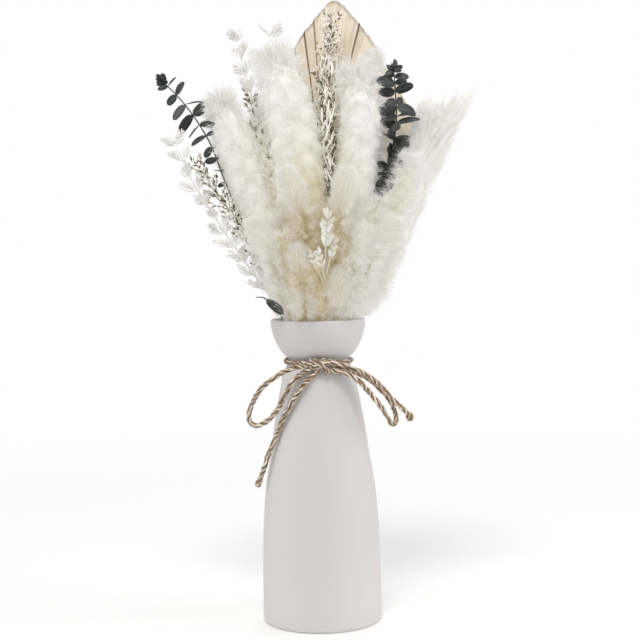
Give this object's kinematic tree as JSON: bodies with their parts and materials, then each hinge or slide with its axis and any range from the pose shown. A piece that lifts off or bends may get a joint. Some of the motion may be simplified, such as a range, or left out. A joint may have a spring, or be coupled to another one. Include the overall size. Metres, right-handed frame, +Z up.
{
  "type": "vase of dried bunny tail grass",
  "caption": "White ceramic vase with a cup-shaped rim, tied with a jute bow, holding dried bunny tails, pampas plumes, a palm spear, eucalyptus and pale sprays.",
  "frame": {"origin": "middle of the vase's flat underside, on the surface that it stands on", "axes": "+Z up along the vase's axis, -Y towards the front with the bow, +X to the right seen from the front"},
  "size_m": [0.211, 0.0838, 0.4113],
  "materials": {
    "ceramic": "matte",
    "jute": "matte",
    "palm": "matte",
    "pampas": "matte",
    "bunny": "matte",
    "straw": "matte",
    "eucalyptus": "matte",
    "bleached": "matte",
    "caspia": "matte"
  },
  "bodies": {
    "root": {"vase": "ceramic", "twine_band": "jute", "twine_loop_left": "jute", "twine_tail_left": "jute", "twine_loop_right": "jute", "twine_tail_right": "jute", "palm_spear": "palm", "plume_far_left": "pampas", "plume_left": "pampas", "plume_right": "pampas", "plume_rear": "pampas", "plume_far_right": "pampas", "plume_stem_far_left": "straw", "plume_stem_left": "straw", "plume_stem_right": "straw", "plume_stem_rear": "straw", "plume_stem_far_right": "straw", "bunny_tail_1": "bunny", "bunny_tail_2": "bunny", "bunny_tail_3": "bunny", "bunny_tail_4": "bunny", "bunny_tail_5": "bunny", "bunny_tail_6": "bunny", "bunny_tail_7": "bunny", "bunny_tail_8": "bunny", "bunny_tail_9": "bunny", "bunny_tail_10": "bunny", "bunny_stem_1": "straw", "bunny_stem_2": "straw", "bunny_stem_3": "straw", "bunny_stem_4": "straw", "bunny_stem_5": "straw", "bunny_stem_6": "straw", "bunny_stem_7": "straw", "bunny_stem_8": "straw", "bunny_stem_9": "straw", "bunny_stem_10": "straw", "eucalyptus_left": "eucalyptus", "eucalyptus_right": "eucalyptus", "bleached_outer": "bleached", "bleached_top": "bleached", "bleached_behind": "bleached", "bleached_front": "bleached", "caspia_centre": "caspia", "caspia_left": "caspia", "caspia_between": "caspia"}
  },
  "joints": []
}
